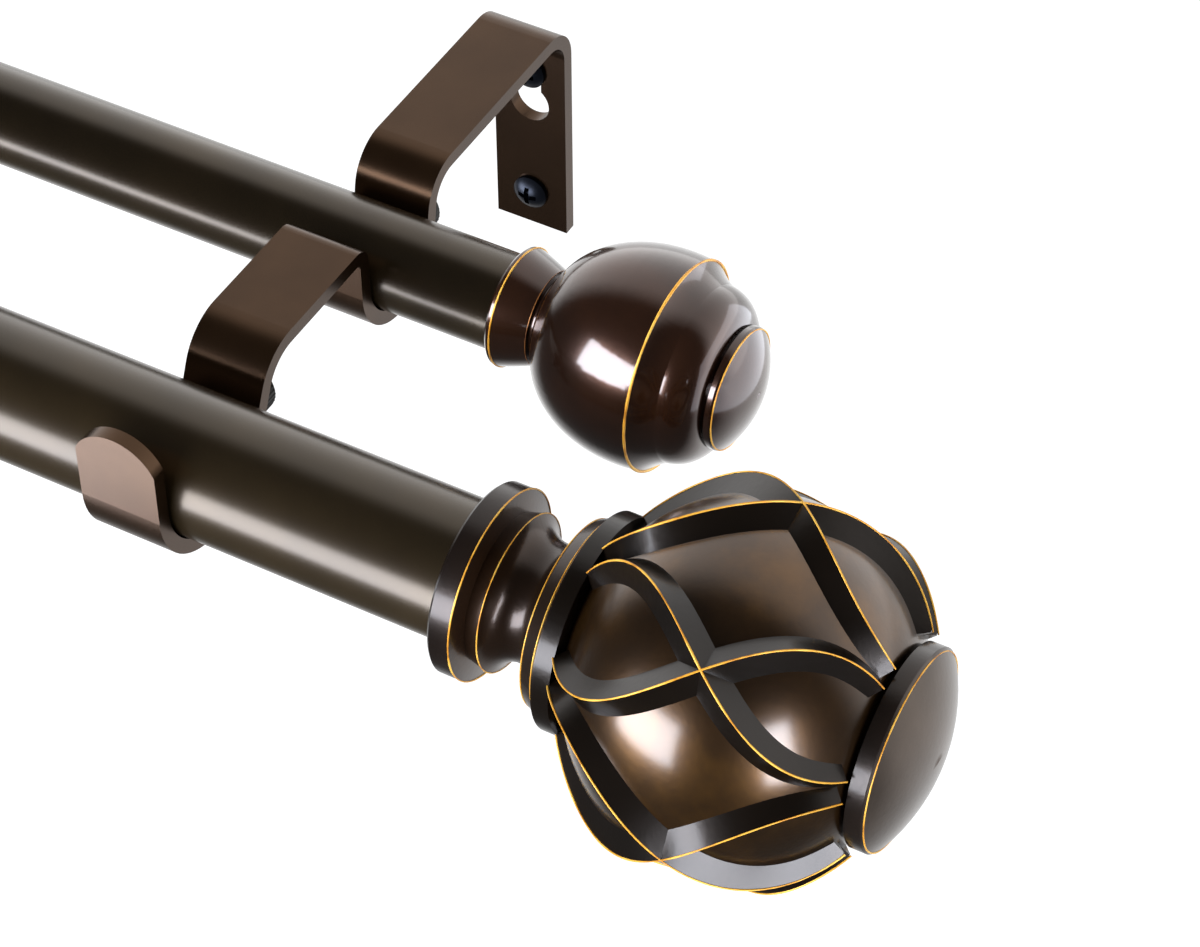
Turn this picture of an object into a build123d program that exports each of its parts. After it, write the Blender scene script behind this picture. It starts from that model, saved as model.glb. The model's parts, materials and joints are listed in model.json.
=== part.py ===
"""Double curtain pole: two telescoping poles with turned finials on a pair of folded strip brackets.

Frame: X runs along the poles, -Y points into the room, +Z is up. The wall is the plane Y = 0, and the
origin is the middle of the four wall screws on that plane. All lengths are in millimetres.
"""
import os
from math import asin, cos, degrees, pi, radians, sin, sqrt

from build123d import *

# Driving dimensions: poles
front_pole_dia = 25.4
back_pole_dia = 18.5
tube_wall = 0.9
telescope_clearance = 0.3
front_pole_length = 711.0
back_pole_setback = 28.9
inner_tube_shortfall = 40.0
front_pole_reach = 127.5
back_pole_reach = 65.0
front_pole_height = 18.4
back_pole_height = 17.3

# Driving dimensions: bracket strip
strip_width = 16.0
strip_thickness = 2.8
cradle_clearance = 0.8
pole_seat_gap = 0.05
back_arm_rise = 11.6
front_arm_rise = 11.2
wall_corner_radius = 8.0
riser_corner_radius = 3.8
back_bend_radius = 9.0
front_bend_radius = 11.0
back_leg_lean_angle = 10.0
front_leg_lean_angle = 24.0
tab_rise = 17.2
tab_end_radius = 8.6
plate_bottom_margin = 8.2
bracket_inset = 64.3

# Driving dimensions: wall screws and thumb-screws
wall_screw_spacing = 31.0
wall_screw_dia = 4.0
wall_screw_length = 12.0
wall_screw_tip = 3.0
wall_screw_shoulder_dia = 4.4
wall_screw_shoulder_short = 0.05
wall_screw_head_dia = 7.4
wall_screw_head_height = 2.4
wall_screw_head_rim = 0.8
cross_recess_width = 1.1
cross_recess_span = 4.2
cross_recess_depth = 1.5
cross_recess_taper_angle = 8.0
screw_hole_clearance = 0.6
keyhole_dia = 8.6
keyhole_drop = 8.1
thumb_shank_dia = 5.0
thumb_head_dia = 11.0
thumb_head_length = 5.5
thumb_head_chamfer = 0.6
thumb_seat_gap = 0.3
thumb_drop = 3.0
thumb_tip_gap = 0.3
thread_clearance = 0.05

# Driving dimensions: end plugs and studs
plug_length = 16.0
plug_fit = 0.05
stud_dia = 6.0
stud_in_plug = 12.0
stud_in_finial = 14.0
stud_hole_spare = 1.0
stud_chamfer = 0.6
socket_depth = 3.0
socket_clearance = 0.2
stop_gap = 0.3
edge_break = 0.5

# Driving dimensions: front finial, stations along its axis from the end of the tube
front_flange_radius = 17.3
front_flange_edge = 1.3
front_step_radius = 14.3
front_step_edge = 5.0
front_cove = 0.8
front_neck_radius = 10.8
front_neck_at = 9.6
front_ring_start = 14.8
front_ring_foot_radius = 15.2
front_ring_inner_radius = 16.9
front_ring_line = 17.4
front_ring_rise = 0.8
front_ring_line_radius = 18.2
front_ring_radius = 19.6
front_ring_end = 21.5
ball_centre = 47.6
panel_radius = 30.6
panel_end = 72.4
rib_end = 73.8
cap_groove_radius = 15.0
cap_start = 74.2
cap_radius = 17.9
cap_rim = 77.5
cap_rim_radius = 17.4
cap_dome = 4.8

# Driving dimensions: ribs on the front finial
rib_crossings = 6
rib_first_angle = -50.6
rib_swing_angle = 24.0
rib_end_angle = 57.0
rib_crossing_angle = 5.4
rib_quarter_angle = 49.5
rib_crest_radius = 35.4
rib_crest_reach = 31.6
rib_half_width = 5.0
rib_depth = 5.6
rib_sections = 9

# Driving dimensions: back finial, stations along its axis from the end of the tube
back_flange_radius = 11.4
back_flange_edge = -1.8
back_flare_radius = 9.9
back_flare_at = 2.4
back_neck_radius = 9.1
back_neck_at = 4.4
back_neck_groove = 0.8
back_groove_width = 0.7
back_shoulder_radius = 15.2
back_shoulder_at = 10.0
back_belly_radius = 20.2
back_belly_at = 23.0
back_ridge_radius = 20.0
back_ridge_at = 30.6
back_ridge_round = 1.5
back_crease_radius = 16.9
back_crease_at = 34.9
back_lobe_radius = 14.9
back_lobe_at = 39.2
back_lobe_end_radius = 11.6
back_lobe_end = 41.2
back_groove_radius = 9.6
back_cap_start = 41.9
back_cap_radius = 11.7
back_cap_rim = 43.3
back_cap_rim_radius = 11.4
back_cap_dome = 3.6

# Sizes that follow from the ones above
front_pole_radius = front_pole_dia / 2
back_pole_radius = back_pole_dia / 2
front_inner_dia = front_pole_dia - 2 * tube_wall - 2 * telescope_clearance
back_inner_dia = back_pole_dia - 2 * tube_wall - 2 * telescope_clearance
front_half_length = front_pole_length / 2
back_half_length = front_half_length - back_pole_setback
bracket_x = front_half_length - bracket_inset
front_cradle_radius = front_pole_radius + cradle_clearance
back_cradle_radius = back_pole_radius + cradle_clearance
front_cradle_height = front_pole_height + cradle_clearance - pole_seat_gap
back_cradle_height = back_pole_height + cradle_clearance - pole_seat_gap
screw_high = wall_screw_spacing / 2
screw_low = -wall_screw_spacing / 2
plate_bottom = screw_low - plate_bottom_margin
slot_width = wall_screw_dia + 2 * screw_hole_clearance
back_arm_top = back_pole_height + back_arm_rise
front_arm_top = front_pole_height + front_arm_rise


def save(builder, name):
    """Label a finished piece and write it to its own file."""
    builder.part.label = name
    export_step(builder.part, f"parts/{name}.step")


def bend_centre(axis_y, axis_z, cradle, bend, arm_top, lean):
    """Centre of the bend between the arm's top and the leg that leans against the cradle behind a pole."""
    centre_z = arm_top - bend
    reach = cradle + bend + (centre_z - axis_z) * sin(radians(lean))
    return axis_y + reach / cos(radians(lean)), centre_z


back_bend = bend_centre(
    -back_pole_reach,
    back_cradle_height,
    back_cradle_radius,
    back_bend_radius,
    back_arm_top,
    back_leg_lean_angle,
)
front_bend = bend_centre(
    -front_pole_reach,
    front_cradle_height,
    front_cradle_radius,
    front_bend_radius,
    front_arm_top,
    front_leg_lean_angle,
)


def leg(bend, bend_radius, cradle, cradle_radius, lean):
    """Outline behind a pole: the bend, the leaning leg and the cradle under the pole."""
    slant = radians(lean)
    bend_end = (bend[0] - bend_radius * cos(slant), bend[1] + bend_radius * sin(slant))
    cradle_start = (cradle[0] + cradle_radius * cos(slant), cradle[1] - cradle_radius * sin(slant))
    CenterArc(bend, bend_radius, 90, 90 - lean)
    Line(bend_end, cradle_start)
    CenterArc(cradle, cradle_radius, -lean, lean - 180)


def bracket(x):
    """One folded strip: wall plate, arm, cradle, arm, cradle and rounded tab, with its screw holes."""
    back_cradle = (-back_pole_reach, back_cradle_height)
    front_cradle = (-front_pole_reach, front_cradle_height)
    riser_y = -back_pole_reach - back_cradle_radius
    wall_corner = (-wall_corner_radius, back_arm_top - wall_corner_radius)
    riser_corner = (riser_y - riser_corner_radius, front_arm_top - riser_corner_radius)
    tab_y = -front_pole_reach - front_cradle_radius
    tab_top = front_pole_height + tab_rise
    with BuildPart() as strip:
        with BuildSketch(Plane.YZ.offset(x - strip_width / 2)):
            with BuildLine():
                Line((0, plate_bottom), (0, wall_corner[1]))
                CenterArc(wall_corner, wall_corner_radius, 0, 90)
                Line((wall_corner[0], back_arm_top), (back_bend[0], back_arm_top))
                leg(back_bend, back_bend_radius, back_cradle, back_cradle_radius, back_leg_lean_angle)
                Line((riser_y, back_cradle_height), (riser_y, riser_corner[1]))
                CenterArc(riser_corner, riser_corner_radius, 0, 90)
                Line((riser_corner[0], front_arm_top), (front_bend[0], front_arm_top))
                leg(front_bend, front_bend_radius, front_cradle, front_cradle_radius, front_leg_lean_angle)
                Line((tab_y, front_cradle_height), (tab_y, tab_top))
                offset(amount=strip_thickness, side=Side.LEFT)
            make_face()
        extrude(amount=strip_width)
        with BuildSketch(Plane.XZ.offset(strip_thickness / 2 - tab_y)):
            with Locations((x, tab_top)):
                Rectangle(2 * strip_width, 2 * tab_end_radius)
            with Locations((x, tab_top - tab_end_radius)):
                Circle(tab_end_radius, mode=Mode.SUBTRACT)
                Rectangle(strip_width, tab_end_radius, align=(Align.CENTER, Align.MAX), mode=Mode.SUBTRACT)
        extrude(amount=strip_thickness, both=True, mode=Mode.SUBTRACT)
        with BuildSketch(Plane.XZ):
            with Locations((x, screw_low), (x, screw_high)):
                Circle(slot_width / 2)
            with Locations((x, screw_high - keyhole_drop)):
                Circle(keyhole_dia / 2)
            with Locations((x, screw_high)):
                Rectangle(slot_width, keyhole_drop, align=(Align.CENTER, Align.MAX))
        extrude(amount=2 * strip_thickness, mode=Mode.SUBTRACT)
        for axis_y, axis_z, cradle in (
            (-back_pole_reach, back_pole_height, back_cradle_radius),
            (-front_pole_reach, front_pole_height, front_cradle_radius),
        ):
            with BuildSketch(Plane.XZ.offset(-axis_y - cradle / 2)):
                with Locations((x, axis_z - thumb_drop)):
                    Circle(thumb_shank_dia / 2 + thread_clearance)
            extrude(amount=-cradle, mode=Mode.SUBTRACT)
    return strip


def wall_screw(x, z):
    """Pan-head screw with a cross recess, its head seated on the wall plate and its shoulder inside the plate."""
    seat = strip_thickness
    rim = seat + wall_screw_head_rim
    head_dome = wall_screw_head_height - wall_screw_head_rim
    dome_radius = ((wall_screw_head_dia / 2) ** 2 + head_dome**2) / (2 * head_dome)
    with BuildPart() as screw:
        with BuildSketch(Plane.YZ.offset(x)):
            with BuildLine():
                Polyline(
                    (-rim, z + wall_screw_head_dia / 2),
                    (-seat, z + wall_screw_head_dia / 2),
                    (-seat, z + wall_screw_shoulder_dia / 2),
                    (-wall_screw_shoulder_short, z + wall_screw_shoulder_dia / 2),
                    (-wall_screw_shoulder_short, z + wall_screw_dia / 2),
                    (wall_screw_length - seat - wall_screw_tip, z + wall_screw_dia / 2),
                    (wall_screw_length - seat, z),
                    (-rim - head_dome, z),
                )
                RadiusArc((-rim - head_dome, z), (-rim, z + wall_screw_head_dia / 2), dome_radius)
            make_face()
        revolve(axis=Axis((x, 0, z), (0, 1, 0)))
        with BuildSketch(Plane.XZ.offset(seat + wall_screw_head_height)):
            with Locations((x, z)):
                Rectangle(cross_recess_span, cross_recess_width)
                Rectangle(cross_recess_width, cross_recess_span)
        extrude(amount=-cross_recess_depth, taper=cross_recess_taper_angle, mode=Mode.SUBTRACT)
    return screw


def thumb_screw(x, axis_y, axis_z, pole_radius, bend, bend_radius, lean):
    """Thumb-screw that presses the pole forward from behind, its head clear of the leaning leg."""
    height = axis_z - thumb_drop
    tip = axis_y + sqrt(pole_radius**2 - (thumb_drop - thumb_shank_dia / 2) ** 2) + thumb_tip_gap
    head_top = height + thumb_head_dia / 2 - bend[1]
    leg_back = bend_radius - strip_thickness - head_top * sin(radians(lean))
    seat = bend[0] - leg_back / cos(radians(lean)) + thumb_seat_gap
    with BuildPart() as screw:
        with BuildSketch(Plane.XZ.offset(-tip)):
            with Locations((x, height)):
                Circle(thumb_shank_dia / 2)
        extrude(amount=tip - seat)
        with BuildSketch(Plane.XZ.offset(-seat)):
            with Locations((x, height)):
                Circle(thumb_head_dia / 2)
        extrude(amount=-thumb_head_length)
        chamfer(screw.edges().filter_by(GeomType.CIRCLE).group_by(Axis.Y)[-1], thumb_head_chamfer)
    return screw


def tube(axis_y, axis_z, outer_dia, start, end):
    """A round tube along X from start to end."""
    with BuildPart() as pipe:
        with BuildSketch(Plane.YZ.offset(start)):
            with Locations((axis_y, axis_z)):
                Circle(outer_dia / 2)
                Circle(outer_dia / 2 - tube_wall, mode=Mode.SUBTRACT)
        extrude(amount=end - start)
    return pipe


def end_plane(x, axis_y, axis_z, side):
    """Plane at a tube's end with its normal pointing out; side is 1 at the right and -1 at the left."""
    return Plane(origin=(x, axis_y, axis_z), x_dir=(0, -1, 0), z_dir=(side, 0, 0))


def plug(place, outer_dia):
    """Moulded plug pressed into the end of a tube, with a hole for the stud."""
    bore = outer_dia / 2 - tube_wall - plug_fit
    with BuildPart() as insert:
        with BuildSketch(place):
            Circle(bore)
            Circle(stud_dia / 2 + thread_clearance, mode=Mode.SUBTRACT)
        extrude(amount=-plug_length)
    return insert


def stud(place):
    """Threaded rod that joins a finial to its plug."""
    with BuildPart() as rod:
        with BuildSketch(place.offset(-stud_in_plug)):
            Circle(stud_dia / 2)
        extrude(amount=stud_in_plug + stud_in_finial)
        chamfer(rod.edges().filter_by(GeomType.CIRCLE), stud_chamfer)
    return rod


def socket(tube_dia):
    """Hollow at the back of a finial: the seat for the tube's end and the hole for the stud."""
    with BuildPart() as hollow:
        with BuildSketch(Plane.XY.offset(-socket_depth)):
            Circle(tube_dia / 2 + socket_clearance)
        extrude(amount=socket_depth)
        with BuildSketch(Plane.XY):
            Circle(stud_dia / 2 + thread_clearance)
        extrude(amount=stud_in_finial + stud_hole_spare)
    return hollow


def rib_point(angle, swing):
    """Point on a rib's crest at an angle from the ball's middle: it swings to one side and back in a sine wave."""
    wave = sin(pi / 2 * (angle - rib_crossing_angle) / rib_quarter_angle)
    turn = radians(rib_first_angle + swing * wave)
    out = rib_crest_radius * cos(radians(angle))
    return Vector(out * cos(turn), out * sin(turn), ball_centre + rib_crest_reach * sin(radians(angle)))


def rib(swing):
    """One roof-shaped rib that runs over the ball from the neck ring to the cap."""
    with BuildPart() as ridge:
        for step in range(rib_sections):
            angle = rib_end_angle * (2 * step / (rib_sections - 1) - 1)
            crest = rib_point(angle, swing)
            ahead = rib_point(angle + 1, swing) - rib_point(angle - 1, swing)
            outward = crest - Vector(0, 0, ball_centre)
            with BuildSketch(Plane(origin=crest, x_dir=outward.cross(ahead), z_dir=ahead)):
                Polygon((0, 0), (-rib_half_width, -rib_depth), (rib_half_width, -rib_depth), align=None)
        loft()
        split(bisect_by=Plane.XY.offset(rib_end), keep=Keep.BOTTOM)
    return ridge


def dome(radius, base, height):
    """Outline of a shallow spherical dome from its rim to the axis."""
    sphere_radius = (radius**2 + height**2) / (2 * height)
    rim_angle = degrees(asin((sphere_radius - height) / sphere_radius))
    CenterArc((0, base + height - sphere_radius), sphere_radius, rim_angle, 90 - rim_angle)


def front_finial(tube_dia):
    """Turned collar and neck, ball with interlaced ribs and a domed end cap, cast in one piece."""
    panel_start = ball_centre - sqrt(panel_radius**2 - front_ring_inner_radius**2)
    panel_end_radius = sqrt(panel_radius**2 - (panel_end - ball_centre) ** 2)
    with BuildPart() as finial:
        with BuildSketch(Plane.XZ):
            with BuildLine():
                Polyline(
                    (0, -socket_depth),
                    (front_flange_radius - edge_break, -socket_depth),
                    (front_flange_radius, edge_break - socket_depth),
                    (front_flange_radius, front_flange_edge),
                    (front_step_radius - front_cove, front_flange_edge + front_cove),
                    (front_step_radius, front_step_edge),
                )
                ThreePointArc(
                    (front_step_radius, front_step_edge),
                    (front_neck_radius, front_neck_at),
                    (front_ring_foot_radius, front_ring_start),
                )
                Polyline(
                    (front_ring_foot_radius, front_ring_start),
                    (front_ring_inner_radius, front_ring_start),
                    (front_ring_line_radius, front_ring_line),
                    (front_ring_radius, front_ring_line + front_ring_rise),
                    (front_ring_radius, front_ring_end),
                    (front_ring_inner_radius, panel_start),
                )
                RadiusArc(
                    (front_ring_inner_radius, panel_start),
                    (panel_end_radius, panel_end),
                    -panel_radius,
                )
                Polyline(
                    (panel_end_radius, panel_end),
                    (cap_groove_radius, panel_end),
                    (cap_groove_radius, cap_start),
                    (cap_radius, cap_start),
                    (cap_radius, cap_rim - edge_break),
                    (cap_rim_radius, cap_rim),
                )
                dome(cap_rim_radius, cap_rim, cap_dome)
                Line((0, cap_rim + cap_dome), (0, -socket_depth))
            make_face()
        revolve(axis=Axis.Z)
        for swing in (rib_swing_angle, -rib_swing_angle):
            ridge = rib(swing).part
            with PolarLocations(0, rib_crossings):
                add(ridge)
        add(socket(tube_dia).part, mode=Mode.SUBTRACT)
    return finial


def back_finial(tube_dia):
    """Turned bell collar, ball with a sharp ridge, a second lobe and a domed end cap, cast in one piece."""
    with BuildPart() as finial:
        with BuildSketch(Plane.XZ):
            with BuildLine():
                Polyline(
                    (0, -socket_depth),
                    (back_flange_radius - edge_break, -socket_depth),
                    (back_flange_radius, edge_break - socket_depth),
                    (back_flange_radius, back_flange_edge),
                )
                Spline(
                    (back_flange_radius, back_flange_edge),
                    (back_flare_radius, back_flare_at),
                    (back_neck_radius, back_neck_at),
                )
                Polyline(
                    (back_neck_radius, back_neck_at),
                    (back_neck_radius - back_neck_groove, back_neck_at),
                    (back_neck_radius - back_neck_groove, back_neck_at + back_groove_width),
                )
                Spline(
                    (back_neck_radius - back_neck_groove, back_neck_at + back_groove_width),
                    (back_shoulder_radius, back_shoulder_at),
                    (back_belly_radius, back_belly_at),
                    (back_ridge_radius, back_ridge_at),
                )
                ThreePointArc(
                    (back_ridge_radius, back_ridge_at),
                    (back_ridge_radius - back_ridge_round, back_ridge_at + back_ridge_round),
                    (back_crease_radius, back_crease_at),
                )
                ThreePointArc(
                    (back_crease_radius, back_crease_at),
                    (back_lobe_radius, back_lobe_at),
                    (back_lobe_end_radius, back_lobe_end),
                )
                Polyline(
                    (back_lobe_end_radius, back_lobe_end),
                    (back_groove_radius, back_lobe_end),
                    (back_groove_radius, back_cap_start),
                    (back_cap_radius, back_cap_start),
                    (back_cap_radius, back_cap_rim - edge_break),
                    (back_cap_rim_radius, back_cap_rim),
                )
                dome(back_cap_rim_radius, back_cap_rim, back_cap_dome)
                Line((0, back_cap_rim + back_cap_dome), (0, -socket_depth))
            make_face()
        revolve(axis=Axis.Z)
        add(socket(tube_dia).part, mode=Mode.SUBTRACT)
    return finial


def placed(builder, place):
    """The finished piece moved to the end of its tube."""
    with BuildPart() as piece:
        with Locations(place):
            add(builder.part)
    return piece


os.makedirs("parts", exist_ok=True)

poles = (
    ("front", -front_pole_reach, front_pole_height, front_pole_dia, front_inner_dia, front_half_length),
    ("back", -back_pole_reach, back_pole_height, back_pole_dia, back_inner_dia, back_half_length),
)
bends = {
    "front": (front_bend, front_bend_radius, front_leg_lean_angle),
    "back": (back_bend, back_bend_radius, back_leg_lean_angle),
}
finials = {"front": front_finial, "back": back_finial}

for end, side in (("right", 1), ("left", -1)):
    x = side * bracket_x
    save(bracket(x), f"bracket_{end}")
    save(wall_screw(x, screw_high), f"upper_wall_screw_{end}")
    save(wall_screw(x, screw_low), f"lower_wall_screw_{end}")
    for pole, axis_y, axis_z, outer_dia, inner_dia, half_length in poles:
        save(thumb_screw(x, axis_y, axis_z, outer_dia / 2, *bends[pole]), f"{pole}_thumb_screw_{end}")

for pole, axis_y, axis_z, outer_dia, inner_dia, half_length in poles:
    outer_start = -half_length + socket_depth + stop_gap
    inner_end = half_length - inner_tube_shortfall
    save(tube(axis_y, axis_z, outer_dia, outer_start, half_length), f"{pole}_outer_tube")
    save(tube(axis_y, axis_z, inner_dia, -half_length, inner_end), f"{pole}_inner_tube")
    for end, side, tube_dia in (("right", 1, outer_dia), ("left", -1, inner_dia)):
        place = end_plane(side * half_length, axis_y, axis_z, side)
        save(plug(place, tube_dia), f"{pole}_plug_{end}")
        save(stud(place), f"{pole}_stud_{end}")
        save(placed(finials[pole](tube_dia), place), f"{pole}_finial_{end}")
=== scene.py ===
import json
from math import cos, pi, radians, sin

import bpy
from mathutils import Matrix, Vector

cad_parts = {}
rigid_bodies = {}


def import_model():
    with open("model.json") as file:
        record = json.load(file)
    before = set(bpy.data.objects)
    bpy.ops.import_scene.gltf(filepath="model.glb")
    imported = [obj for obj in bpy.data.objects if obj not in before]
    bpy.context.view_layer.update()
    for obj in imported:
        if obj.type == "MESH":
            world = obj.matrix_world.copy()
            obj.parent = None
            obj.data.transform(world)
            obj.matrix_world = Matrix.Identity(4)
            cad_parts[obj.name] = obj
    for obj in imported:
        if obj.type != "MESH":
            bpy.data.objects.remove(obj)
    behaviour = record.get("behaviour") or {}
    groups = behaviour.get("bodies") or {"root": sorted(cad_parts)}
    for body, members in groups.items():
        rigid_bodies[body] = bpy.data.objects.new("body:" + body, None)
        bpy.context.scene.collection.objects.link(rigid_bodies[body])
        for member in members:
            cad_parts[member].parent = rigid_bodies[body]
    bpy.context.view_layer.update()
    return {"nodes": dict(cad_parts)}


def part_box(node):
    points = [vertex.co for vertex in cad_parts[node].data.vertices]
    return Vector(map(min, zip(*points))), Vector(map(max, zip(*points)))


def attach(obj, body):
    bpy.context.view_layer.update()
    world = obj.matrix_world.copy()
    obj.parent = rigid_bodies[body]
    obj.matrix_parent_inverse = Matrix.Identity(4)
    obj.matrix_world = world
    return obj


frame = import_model()
nodes = frame["nodes"]

# Places that follow from the frame, in metres
poles = {}
for pole in ("front", "back"):
    low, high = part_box(f"{pole}_outer_tube")
    centre = (low + high) / 2
    poles[pole] = {"y": centre.y, "z": centre.z, "end": high.x}
sides = {"right": 1, "left": -1}
finial_body = {("front", "right"): "fixed_frame", ("front", "left"): "front_slider",
               ("back", "right"): "fixed_frame", ("back", "left"): "back_slider"}

# Front finial, stations along its axis from the end of the tube
front_finial_start = -0.003
front_finial_end = 0.083
ball_centre = 0.0476
panel_radius = 0.0306
rib_crossings = 6
rib_first_angle = -50.6
rib_swing = 24.0
rib_end_angle = 57.0
rib_crossing_angle = 5.4
rib_quarter_angle = 49.5
rib_crest_radius = 0.0354
rib_crest_reach = 0.0316
rib_line_steps = 96
panel_lift = 0.0015
panel_cover = 0.00003
panel_rows = 72
panel_columns = 144

# Painted edges of the finials: station, radius and half width of the line
front_edges = {
    "flange": (0.0013, 0.0173, 0.00016),
    "step": (0.0050, 0.0143, 0.00012),
    "ring_back": (0.0148, 0.0169, 0.00013),
    "ring_front": (0.0174, 0.0182, 0.00013),
    "cap": (0.0775, 0.0174, 0.00015),
}
back_edges = {
    "flange": (-0.0018, 0.0114, 0.00019),
    "neck": (0.0044, 0.0091, 0.00010),
    "ridge": (0.0306, 0.0200, 0.00028),
    "cap": (0.0433, 0.0114, 0.00014),
}
rib_line_half_width = 0.00017
edge_line_steps = 144
line_wander = 1.4

# Patterns, in patches to the metre: 22 mm apart in the glaze, 4.5 mm in rubbed paint, 9 mm along a line
glaze_patches = 45.0
rubbed_patches = 220.0
line_waves = 110.0

# Grips of the thumb-screws' heads, and threads of the wall screws
thumb_head_length = 0.0055
grip_end_margin = 0.0007
grip_ridges = 36
grip_ridge_height = 0.00035
thread_pitch = 0.0016
thread_height = 0.0004
shank_radius = 0.0020
tip_length = 0.0030


def linear(code):
    """An sRGB hex colour such as #d9962e as linear RGBA."""
    channels = [int(code[i:i + 2], 16) / 255 for i in (1, 3, 5)]
    linear_channels = [c / 12.92 if c <= 0.04045 else ((c + 0.055) / 1.055) ** 2.4 for c in channels]
    return (*linear_channels, 1.0)


def add_node(tree, kind, settings=None, **links):
    """Adds a node. Settings are properties, inputs or a ramp's stops; links are the sockets that feed it.

    An input is named as Blender names it, with _ for a space in a link, or by its number as in i0.
    """
    made = tree.nodes.new(kind)
    for name, value in (settings or {}).items():
        if name == "stops":
            band = made.color_ramp.elements
            while len(band) < len(value):
                band.new(0.5)
            for element, (position, code) in zip(band, value):
                element.position = position
                element.color = linear(code)
        elif hasattr(made, name):
            setattr(made, name, value)
        else:
            made.inputs[int(name[1:]) if name[1:].isdigit() else name].default_value = value
    for name, socket in links.items():
        tree.links.new(socket, made.inputs[int(name[1:]) if name[1:].isdigit() else name.replace("_", " ")])
    return made


def new_finish(name):
    """An empty node material: the material, its tree, its Principled shader and the Object coordinates."""
    finish = bpy.data.materials.new(name)
    finish.use_nodes = True
    tree = finish.node_tree
    shader = tree.nodes["Principled BSDF"]
    place = tree.nodes.new("ShaderNodeTexCoord").outputs["Object"]
    return finish, tree, shader, place


def orange_peel(tree, shader, place, grain_mm, depth_mm):
    """The slight waves that a sprayed coat dries with, one wave for each grain length."""
    waves = add_node(tree, "ShaderNodeTexNoise", {"Scale": 1000 / grain_mm, "Detail": 2.0}, Vector=place)
    bump = add_node(tree, "ShaderNodeBump", {"Strength": 1.0, "Distance": depth_mm / 1000},
                    Height=waves.outputs["Fac"])
    tree.links.new(bump.outputs["Normal"], shader.inputs["Normal"])


def sprayed(name, dark, light, cloud_mm, metallic, roughness, coat, coat_roughness, grain_mm, depth_mm):
    """A sprayed metal part: two close shades in soft clouds under an orange-peel surface."""
    finish, tree, shader, place = new_finish(name)
    clouds = add_node(tree, "ShaderNodeTexNoise", {"Scale": 1000 / cloud_mm, "Detail": 4.0}, Vector=place)
    shade = add_node(tree, "ShaderNodeValToRGB", {"stops": [(0.3, dark), (0.7, light)]},
                     Fac=clouds.outputs["Fac"])
    tree.links.new(shade.outputs["Color"], shader.inputs["Base Color"])
    orange_peel(tree, shader, place, grain_mm, depth_mm)
    shader.inputs["Metallic"].default_value = metallic
    shader.inputs["Roughness"].default_value = roughness
    shader.inputs["Coat Weight"].default_value = coat
    shader.inputs["Coat Roughness"].default_value = coat_roughness
    return finish


def glazed_bronze_with_painted_cap_sheen(name, sign):
    """Dark glaze over bronze lacquer on cast resin: nearly black ribs and rims, brown neck, and a paler
    grey-brown cap that is a painted reflection of the pale backdrop.
    """
    tube_end = poles["front"]["end"]
    finish, tree, shader, place = new_finish(name)
    along = add_node(tree, "ShaderNodeSeparateXYZ", None, Vector=place)
    station = add_node(tree, "ShaderNodeMapRange",
                       {"From Min": sign * (tube_end + front_finial_start),
                        "From Max": sign * (tube_end + front_finial_end)},
                       Value=along.outputs["X"])
    # Shades along the axis; the last stops, grey-brown on the cap, are a painted reflection of the
    # backdrop, not the glaze's own colour
    turned = add_node(tree, "ShaderNodeValToRGB",
                      {"stops": [(0.0, "#241b16"), (0.048, "#2b201a"), (0.055, "#3a2719"),
                                 (0.09, "#3a2719"), (0.15, "#2e1e13"), (0.205, "#33251b"),
                                 (0.245, "#2f2118"), (0.25, "#1a120b"), (0.86, "#1a120b"),
                                 (0.93, "#2b211b"), (0.938, "#54483e"), (1.0, "#5a4e45")]},
                      Fac=station.outputs["Result"])
    clouds = add_node(tree, "ShaderNodeTexNoise", {"Scale": glaze_patches, "Detail": 5.0}, Vector=place)
    patches = add_node(tree, "ShaderNodeMapRange",
                       {"From Min": 0.35, "From Max": 0.65, "To Min": 0.75, "To Max": 1.15},
                       Value=clouds.outputs["Fac"])
    colour = add_node(tree, "ShaderNodeVectorMath", {"operation": "SCALE"}, i0=turned.outputs["Color"],
                      Scale=patches.outputs["Result"])
    tree.links.new(colour.outputs["Vector"], shader.inputs["Base Color"])
    orange_peel(tree, shader, place, 1.1, 0.02)
    shader.inputs["Metallic"].default_value = 0.6
    shader.inputs["Roughness"].default_value = 0.28
    shader.inputs["Coat Weight"].default_value = 0.25
    shader.inputs["Coat Roughness"].default_value = 0.14
    return finish


def wiped_bronze(name):
    """Bronze-powder lacquer wiped clean on the domed panels: warm metallic brown under a satin coat."""
    finish, tree, shader, place = new_finish(name)
    clouds = add_node(tree, "ShaderNodeTexNoise",
                      {"Scale": glaze_patches, "Detail": 5.0, "Roughness": 0.55}, Vector=place)
    brown = add_node(tree, "ShaderNodeValToRGB",
                     {"stops": [(0.3, "#2c1b09"), (0.52, "#40290e"), (0.72, "#604016")]},
                     Fac=clouds.outputs["Fac"])
    tree.links.new(brown.outputs["Color"], shader.inputs["Base Color"])
    orange_peel(tree, shader, place, 1.1, 0.03)
    shader.inputs["Metallic"].default_value = 0.85
    shader.inputs["Roughness"].default_value = 0.34
    shader.inputs["Coat Weight"].default_value = 0.8
    shader.inputs["Coat IOR"].default_value = 1.6
    shader.inputs["Coat Roughness"].default_value = 0.19
    return finish


def rubbed_paint(name, stops):
    """Metallic paint rubbed along an edge by fingertip, mottled where it is thick and where it thins."""
    finish, tree, shader, place = new_finish(name)
    wear = add_node(tree, "ShaderNodeTexNoise", {"Scale": rubbed_patches, "Detail": 4.0}, Vector=place)
    colour = add_node(tree, "ShaderNodeValToRGB", {"stops": stops}, Fac=wear.outputs["Fac"])
    tree.links.new(colour.outputs["Color"], shader.inputs["Base Color"])
    shader.inputs["Roughness"].default_value = 0.385
    shader.inputs["Metallic"].default_value = 0.25
    return finish


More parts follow.
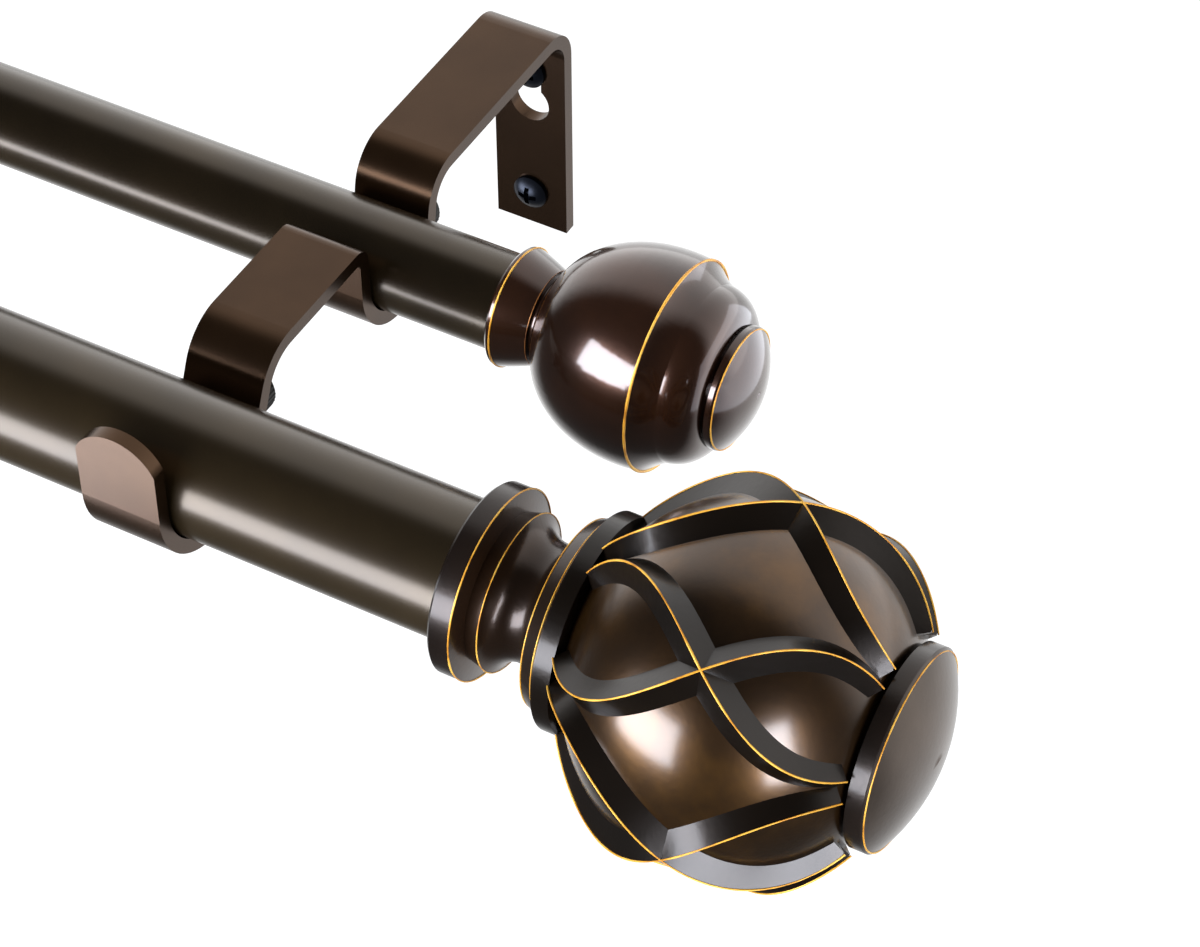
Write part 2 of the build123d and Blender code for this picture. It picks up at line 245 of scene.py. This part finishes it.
# Baked bronze enamel on steel tube: satin, dark olive brown, nearly smooth
enamel = sprayed("bronze_enamel_on_steel_tube", "#3a2e1c", "#453722", cloud_mm=17, metallic=0.5,
                 roughness=0.27, coat=0.4, coat_roughness=0.22, grain_mm=0.5, depth_mm=0.002)
# Powder coat on strip steel: warmer than the enamel, with no clear coat over it
powder = sprayed("bronze_powder_coat_on_strip_steel", "#412d1c", "#4c3623", cloud_mm=17, metallic=0.75,
                 roughness=0.27, coat=0.0, coat_roughness=0.25, grain_mm=0.6, depth_mm=0.004)
# Gloss lacquer over dark glaze on cast resin: nearly black, mirror-like, with faint waves
lacquer = sprayed("bronze_gloss_lacquer_on_resin", "#2a170d", "#402414", cloud_mm=17, metallic=0.7,
                  roughness=0.24, coat=1.0, coat_roughness=0.1, grain_mm=1.4, depth_mm=0.004)
# Blackened steel of the wall screws: blue-black with a dull metal shine
black_steel = sprayed("blackened_screw_steel", "#1a1d24", "#272b34", cloud_mm=6, metallic=0.8,
                      roughness=0.34, coat=0.0, coat_roughness=0.2, grain_mm=0.3, depth_mm=0.003)
# Black oxide on knurled steel: brown-black and dull
black_oxide = sprayed("black_oxide_on_knurled_steel", "#0f0d0c", "#1c1816", cloud_mm=6, metallic=0.5,
                      roughness=0.35, coat=0.0, coat_roughness=0.2, grain_mm=0.3, depth_mm=0.003)
# Moulded polyamide of the end plugs: black and matt
polyamide = sprayed("black_moulded_polyamide", "#101010", "#181818", cloud_mm=10, metallic=0.0,
                    roughness=0.5, coat=0.0, coat_roughness=0.2, grain_mm=0.4, depth_mm=0.005)
# Zinc plate on the studs: pale grey metal
zinc = sprayed("zinc_plate_on_stud_steel", "#9a9ca0", "#b0b2b6", cloud_mm=8, metallic=1.0, roughness=0.3,
               coat=0.0, coat_roughness=0.2, grain_mm=0.5, depth_mm=0.002)
# Gold paint rubbed along edges: bright yellow where it is thick, coppery where it thins
gold = rubbed_paint("rubbed_gold_paint", [(0.3, "#b8741c"), (0.45, "#f0a832"), (0.66, "#ffc955")])
# Copper paint along the back neck's groove: dull red-brown
copper = rubbed_paint("rubbed_copper_paint", [(0.3, "#5b3418"), (0.5, "#8a5526"), (0.66, "#b9793c")])
# One glaze for each end, with its cap's painted reflection, because its shades follow the distance from
# that end's tube
glazes = {side: glazed_bronze_with_painted_cap_sheen(f"glazed_bronze_lacquer_{side}", sign) for side, sign in sides.items()}
# Wiped lacquer on the ball's panels: warm brown with a broad soft shine
panel_bronze = wiped_bronze("wiped_bronze_lacquer")

for name, piece in nodes.items():
    if "tube" in name:
        finish = enamel
    elif "bracket" in name:
        finish = powder
    elif "front_finial" in name:
        finish = glazes[name.rsplit("_", 1)[1]]
    elif "back_finial" in name:
        finish = lacquer
    elif "wall_screw" in name:
        finish = black_steel
    elif "thumb_screw" in name:
        finish = black_oxide
    elif "plug" in name:
        finish = polyamide
    else:
        finish = zinc
    piece.data.materials.clear()
    piece.data.materials.append(finish)


def new_rule(name, sizes):
    """A Geometry Nodes tree with named inputs: the tree, its input node and its output node."""
    tree = bpy.data.node_groups.new(name, "GeometryNodeTree")
    tree.interface.new_socket("Geometry", in_out="INPUT", socket_type="NodeSocketGeometry")
    for size, kind in sizes.items():
        tree.interface.new_socket(size, in_out="INPUT", socket_type=f"NodeSocket{kind}")
    tree.interface.new_socket("Geometry", in_out="OUTPUT", socket_type="NodeSocketGeometry")
    return tree, tree.nodes.new("NodeGroupInput").outputs, tree.nodes.new("NodeGroupOutput")


def close_rule(tree, given, result, shape):
    """Ends a tree in Realize Instances and Set Material."""
    real = add_node(tree, "GeometryNodeRealizeInstances", None, Geometry=shape)
    smooth = add_node(tree, "GeometryNodeSetShadeSmooth", None, Geometry=real.outputs[0])
    painted = add_node(tree, "GeometryNodeSetMaterial", None, Geometry=smooth.outputs[0],
                       Material=given["Finish"])
    tree.links.new(painted.outputs[0], result.inputs[0])
    return tree


def grow(name, mesh, rule, sizes):
    """Runs a rule on a mesh and keeps the result as a plain mesh object."""
    seed = bpy.data.objects.new(f"{name}_seed", mesh)
    bpy.context.scene.collection.objects.link(seed)
    step = seed.modifiers.new("rule", "NODES")
    step.node_group = rule
    for socket in rule.interface.items_tree:
        if socket.in_out == "INPUT" and socket.name in sizes:
            step[socket.identifier] = sizes[socket.name]
    graph = bpy.context.evaluated_depsgraph_get()
    grown = bpy.data.meshes.new_from_object(seed.evaluated_get(graph))
    bpy.data.objects.remove(seed)
    piece = bpy.data.objects.new(name, grown)
    bpy.context.scene.collection.objects.link(piece)
    return piece


def paint_line_rule():
    """A thin line of paint along each edge of a mesh; its width wanders as a hand-rubbed line does."""
    tree, given, result = new_rule("paint_line", {"Half Width": "Float", "Wander": "Float",
                                                  "Finish": "Material"})
    path = add_node(tree, "GeometryNodeMeshToCurve", None, Mesh=given["Geometry"])
    wander = add_node(tree, "ShaderNodeTexNoise", {"Scale": line_waves, "Detail": 3.0})
    centred = add_node(tree, "ShaderNodeMath", {"operation": "SUBTRACT", "i1": 0.5},
                       i0=wander.outputs["Fac"])
    swing = add_node(tree, "ShaderNodeMath", {"operation": "MULTIPLY"}, i0=centred.outputs[0],
                     i1=given["Wander"])
    share = add_node(tree, "ShaderNodeMath", {"operation": "ADD", "i1": 1.0}, i0=swing.outputs[0])
    width = add_node(tree, "ShaderNodeMath", {"operation": "MULTIPLY"}, i0=share.outputs[0],
                     i1=given["Half Width"])
    section = add_node(tree, "GeometryNodeCurvePrimitiveCircle", {"Resolution": 6, "Radius": 1.0})
    line = add_node(tree, "GeometryNodeCurveToMesh", {"Fill Caps": True}, Curve=path.outputs[0],
                    Profile_Curve=section.outputs[0], Scale=width.outputs[0])
    return close_rule(tree, given, result, line.outputs[0])


def grip_rule():
    """Ridges along the rim of a thumb-screw's head."""
    tree, given, result = new_rule("grip", {"Place": "Vector", "Radius": "Float", "Length": "Float",
                                            "Ridges": "Int", "Height": "Float", "Finish": "Material"})
    rim = add_node(tree, "GeometryNodeMeshCircle", None, Vertices=given["Ridges"], Radius=given["Radius"])
    ridge = add_node(tree, "GeometryNodeMeshCylinder", {"Vertices": 4}, Radius=given["Height"],
                     Depth=given["Length"])
    spread = add_node(tree, "GeometryNodeInstanceOnPoints", None, Points=rim.outputs[0],
                      Instance=ridge.outputs[0])
    turned = add_node(tree, "GeometryNodeTransform", {"Rotation": (pi / 2, 0, 0)},
                      Geometry=spread.outputs[0], Translation=given["Place"])
    return close_rule(tree, given, result, turned.outputs[0])


def thread_rule():
    """One helical thread round a screw's shank, running along +Y from its place."""
    tree, given, result = new_rule("thread", {"Place": "Vector", "Radius": "Float", "Length": "Float",
                                              "Pitch": "Float", "Height": "Float", "Finish": "Material"})
    turns = add_node(tree, "ShaderNodeMath", {"operation": "DIVIDE"}, i0=given["Length"], i1=given["Pitch"])
    helix = add_node(tree, "GeometryNodeCurveSpiral", {"Resolution": 24}, Rotations=turns.outputs[0],
                     Start_Radius=given["Radius"], End_Radius=given["Radius"], Height=given["Length"])
    section = add_node(tree, "GeometryNodeCurvePrimitiveCircle", {"Resolution": 4}, Radius=given["Height"])
    ridge = add_node(tree, "GeometryNodeCurveToMesh", {"Fill Caps": True}, Curve=helix.outputs[0],
                     Profile_Curve=section.outputs[0])
    turned = add_node(tree, "GeometryNodeTransform", {"Rotation": (-pi / 2, 0, 0)},
                      Geometry=ridge.outputs[0], Translation=given["Place"])
    return close_rule(tree, given, result, turned.outputs[0])


def rib_crest(pole, sign, turn, swing):
    """Points along one rib's crest, from the neck ring to the cap."""
    line = []
    for step in range(rib_line_steps + 1):
        angle = rib_end_angle * (2 * step / rib_line_steps - 1)
        wave = sin(pi / 2 * (angle - rib_crossing_angle) / rib_quarter_angle)
        around = radians(rib_first_angle + turn + swing * wave)
        out = rib_crest_radius * cos(radians(angle))
        x = sign * (pole["end"] + ball_centre + rib_crest_reach * sin(radians(angle)))
        line.append((x, pole["y"] - out * cos(around), pole["z"] - sign * out * sin(around)))
    return line


def panel_dome(name, pole, sign):
    """The panels' pillowed surface between the ribs: a closed turned body, lowest at neck and cap."""
    points, faces = [], []
    for row in range(panel_rows + 1):
        share = 2 * row / panel_rows - 1
        angle = radians(rib_end_angle * share)
        radius = panel_radius + panel_cover + panel_lift * (1 - share**2) ** 2
        x = sign * (pole["end"] + ball_centre + radius * sin(angle))
        for column in range(panel_columns):
            turn = sign * 2 * pi * column / panel_columns
            out = radius * cos(angle)
            points.append((x, pole["y"] + out * cos(turn), pole["z"] + out * sin(turn)))
    for row in range(panel_rows):
        for column in range(panel_columns):
            a, b = row * panel_columns + column, row * panel_columns + (column + 1) % panel_columns
            faces.append((a, b, b + panel_columns, a + panel_columns))
    faces.append(tuple(reversed(range(panel_columns))))
    faces.append(tuple(range(panel_rows * panel_columns, (panel_rows + 1) * panel_columns)))
    mesh = bpy.data.meshes.new(name)
    mesh.from_pydata(points, [], faces)
    mesh.shade_smooth()
    mesh.materials.append(panel_bronze)
    piece = bpy.data.objects.new(name, mesh)
    bpy.context.scene.collection.objects.link(piece)
    return piece


def edge_circle(pole, sign, station, radius):
    """Points round an edge of a turned finial."""
    x = sign * (pole["end"] + station)
    turns = [2 * pi * k / edge_line_steps for k in range(edge_line_steps)]
    return [(x, pole["y"] + radius * cos(turn), pole["z"] + radius * sin(turn)) for turn in turns]


def line_mesh(name, lines, closed):
    """A mesh of bare edges along the lines."""
    points, edges = [], []
    for line in lines:
        first = len(points)
        points += line
        edges += [(first + i, first + i + 1) for i in range(len(line) - 1)]
        if closed:
            edges.append((len(points) - 1, first))
    mesh = bpy.data.meshes.new(name)
    mesh.from_pydata(points, edges, [])
    return mesh


def join(name, pieces):
    """Joins plain mesh objects into one."""
    with bpy.context.temp_override(active_object=pieces[0], selected_editable_objects=pieces):
        bpy.ops.object.join()
    pieces[0].name = name
    return pieces[0]


paint_line = paint_line_rule()
grip = grip_rule()
thread = thread_rule()

for side, sign in sides.items():
    piece = panel_dome(f"front_finial_panels_{side}", poles["front"], sign)
    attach(piece, finial_body["front", side])

    lines = [rib_crest(poles["front"], sign, 360 * k / rib_crossings, swing)
             for swing in (rib_swing, -rib_swing) for k in range(rib_crossings)]
    painted = {"front": [("rib", line_mesh("ribs", lines, False), rib_line_half_width, gold)], "back": []}
    for pole, edges in (("front", front_edges), ("back", back_edges)):
        for edge, (station, radius, half_width) in edges.items():
            mesh = line_mesh(edge, [edge_circle(poles[pole], sign, station, radius)], True)
            painted[pole].append((edge, mesh, half_width, copper if edge == "neck" else gold))
        pieces = [grow(f"{pole}_{edge}_{side}", mesh, paint_line,
                       {"Half Width": half_width, "Wander": line_wander, "Finish": finish})
                  for edge, mesh, half_width, finish in painted[pole]]
        piece = join(f"{pole}_finial_gilding_{side}", pieces)
        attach(piece, finial_body[pole, side])

    for pole in poles:
        low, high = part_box(f"{pole}_thumb_screw_{side}")
        head_radius = (high.z - low.z) / 2
        sizes = {"Place": ((low.x + high.x) / 2, high.y - thumb_head_length / 2, (low.z + high.z) / 2),
                 "Radius": head_radius - grip_ridge_height / 2,
                 "Length": thumb_head_length - 2 * grip_end_margin, "Ridges": grip_ridges,
                 "Height": grip_ridge_height, "Finish": black_oxide}
        piece = grow(f"{pole}_thumb_screw_grip_{side}", bpy.data.meshes.new("grip"), grip, sizes)
        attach(piece, f"{pole}_clamp_{side}")

    pieces = []
    for row in ("upper", "lower"):
        low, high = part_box(f"{row}_wall_screw_{side}")
        sizes = {"Place": ((low.x + high.x) / 2, 0.0, (low.z + high.z) / 2), "Radius": shank_radius,
                 "Length": high.y - tip_length, "Pitch": thread_pitch, "Height": thread_height,
                 "Finish": black_steel}
        pieces.append(grow(f"{row}_thread_{side}", bpy.data.meshes.new("thread"), thread, sizes))
    piece = join(f"wall_screw_threads_{side}", pieces)
    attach(piece, "fixed_frame")


# Camera, fitted to the photograph's perspective
camera_azimuth = 29.0984
camera_elevation = 45.1687
camera_roll = -0.2822
camera_place = Vector((0.57286, -0.48111, 0.46145))
picture_width = 1200
focal_pixels = 3610.86

lens = bpy.data.cameras.new("camera")
lens.sensor_width = 36.0
lens.lens = focal_pixels / picture_width * lens.sensor_width
lens.clip_start = 0.05
lens.clip_end = 50.0
camera = bpy.data.objects.new("camera", lens)
bpy.context.scene.collection.objects.link(camera)
azimuth, elevation, roll = radians(camera_azimuth), radians(camera_elevation), radians(camera_roll)
back = Vector((sin(azimuth) * cos(elevation), -cos(azimuth) * cos(elevation), sin(elevation)))
level_right = (-back).cross(Vector((0, 0, 1))).normalized()
level_up = level_right.cross(-back)
right = cos(roll) * level_right + sin(roll) * level_up
up = -sin(roll) * level_right + cos(roll) * level_up
camera.matrix_world = Matrix.Translation(camera_place) @ Matrix((right, up, back)).transposed().to_4x4()
bpy.context.scene.camera = camera

# Floor of pale paint: white to the camera; a gloss coat sees it dim in front and bright behind
floor_height = -0.45
floor_half = 6.0
corners = [(-1, -1), (1, -1), (1, 1), (-1, 1)]
floor_mesh = bpy.data.meshes.new("floor")
floor_points = [(x * floor_half, y * floor_half, floor_height) for x, y in corners]
floor_mesh.from_pydata(floor_points, [], [(0, 1, 2, 3)])
floor = bpy.data.objects.new("floor", floor_mesh)
bpy.context.scene.collection.objects.link(floor)
floor_paint = bpy.data.materials.new("pale_floor_paint")
floor_paint.use_nodes = True
tree = floor_paint.node_tree
tree.nodes.clear()
rays = add_node(tree, "ShaderNodeLightPath").outputs
spot = add_node(tree, "ShaderNodeTexCoord").outputs["Object"]
spot = add_node(tree, "ShaderNodeSeparateXYZ", None, Vector=spot)
lit = add_node(tree, "ShaderNodeMapRange",
               {"From Min": -0.15, "From Max": 0.15, "To Min": 0.08, "To Max": 1.1},
               Value=spot.outputs["Y"])
matt = add_node(tree, "ShaderNodeBsdfDiffuse", {"Color": (0.5, 0.5, 0.5, 1)})
white = add_node(tree, "ShaderNodeEmission", {"Strength": 0.85})
shown = add_node(tree, "ShaderNodeAddShader", None, i0=matt.outputs[0], i1=white.outputs[0])
mirrored = add_node(tree, "ShaderNodeEmission", None, Strength=lit.outputs["Result"])
seen = add_node(tree, "ShaderNodeMixShader", None, i0=rays["Is Glossy Ray"], i1=matt.outputs[0],
                i2=mirrored.outputs[0])
final = add_node(tree, "ShaderNodeMixShader", None, i0=rays["Is Camera Ray"], i1=seen.outputs[0],
                 i2=shown.outputs[0])
add_node(tree, "ShaderNodeOutputMaterial", None, Surface=final.outputs[0])
floor_mesh.materials.append(floor_paint)

# World: a white backdrop behind, brightest low down, and a dim room in front
world = bpy.data.worlds.new("studio")
bpy.context.scene.world = world
world.use_nodes = True
tree = world.node_tree
tree.nodes.clear()
rays = add_node(tree, "ShaderNodeLightPath").outputs
direction = add_node(tree, "ShaderNodeTexCoord").outputs["Generated"]
parts = add_node(tree, "ShaderNodeSeparateXYZ", None, Vector=direction)
behind = add_node(tree, "ShaderNodeMapRange",
                  {"interpolation_type": "SMOOTHSTEP", "From Min": 0.0, "From Max": 0.4},
                  Value=parts.outputs["Y"])
paper = add_node(tree, "ShaderNodeMapRange",
                 {"From Min": 0.0, "From Max": 1.0, "To Min": 2.0, "To Max": 0.9},
                 Value=parts.outputs["Z"])
card = add_node(tree, "ShaderNodeMath", {"operation": "MULTIPLY_ADD", "i2": 0.05},
                i0=behind.outputs["Result"], i1=paper.outputs["Result"])
mirror = add_node(tree, "ShaderNodeBackground", None, Strength=card.outputs[0])
soft = add_node(tree, "ShaderNodeBackground", {"Strength": 0.35})
white = add_node(tree, "ShaderNodeBackground", {"Strength": 1.0})
for shader in (mirror, soft, white):
    shader.inputs["Color"].default_value = (1, 1, 1, 1)
seen = add_node(tree, "ShaderNodeMixShader", None, i0=rays["Is Glossy Ray"], i1=soft.outputs[0],
                i2=mirror.outputs[0])
final = add_node(tree, "ShaderNodeMixShader", None, i0=rays["Is Camera Ray"], i1=seen.outputs[0],
                 i2=white.outputs[0])
add_node(tree, "ShaderNodeOutputWorld", None, Surface=final.outputs[0])

# Soft boxes, cool white: the place each faces, its azimuth, elevation and distance from there, its width
# and height, its radiance, and the pieces that it lights
finial_place = Vector((0.40, -0.10, 0.018))
pole_place = Vector((0.15, -0.10, 0.018))
tab_place = Vector((0.29, -0.14, 0.025))
soft_boxes = {
    "front_box": (finial_place, -30, 3, 1.0, 0.75, 0.46, 18.0, "front_finial"),
    "front_side_box": (finial_place, 51, 3, 1.0, 0.26, 0.6, 22.0, "front_finial"),
    "front_low_box": (finial_place, 20, -50, 0.8, 0.8, 0.3, 4.0, "front_finial"),
    "back_box": (finial_place, -26, 18, 1.0, 0.8, 0.55, 20.0, "back_finial"),
    "back_side_box": (finial_place, 52, 0, 1.0, 0.3, 0.6, 12.0, "back_finial"),
    "back_cap_card": (finial_place, 125, -20, 0.8, 1.4, 1.2, 2.0, "back_finial"),
    "pole_strip": (pole_place, -24, -11, 0.75, 1.1, 0.4, 12.0, "pole"),
    "bend_strip": (tab_place, -22, 17, 0.8, 0.9, 0.12, 10.0, "bracket"),
    "tab_card": (tab_place, -29, -38, 0.2, 0.16, 0.07, 8.5, "bracket"),
}
lamp_colour = linear("#edf3ff")[:3]
groups = ("front_finial", "back_finial", "pole", "bracket")
lit_by = {group: bpy.data.collections.new(f"{group}_lit") for group in groups}
for piece in bpy.context.scene.objects:
    if piece.type == "MESH":
        group = next((group for group in groups if group in piece.name), "pole")
        lit_by[group].objects.link(piece)
for name, (target, turn, rise, distance, width, height, radiance, group) in soft_boxes.items():
    turn, rise = radians(turn), radians(rise)
    toward = Vector((sin(turn) * cos(rise), -cos(turn) * cos(rise), sin(rise)))
    light = bpy.data.lights.new(name, "AREA")
    light.shape = "RECTANGLE"
    light.size, light.size_y = width, height
    light.energy = radiance * pi * width * height
    light.color = lamp_colour
    lamp = bpy.data.objects.new(name, light)
    lamp.location = target + toward * distance
    lamp.rotation_mode = "QUATERNION"
    lamp.rotation_quaternion = toward.to_track_quat("Z", "Y")
    lamp.light_linking.receiver_collection = lit_by[group]
    bpy.context.scene.collection.objects.link(lamp)

bpy.context.scene.view_settings.view_transform = "Standard"
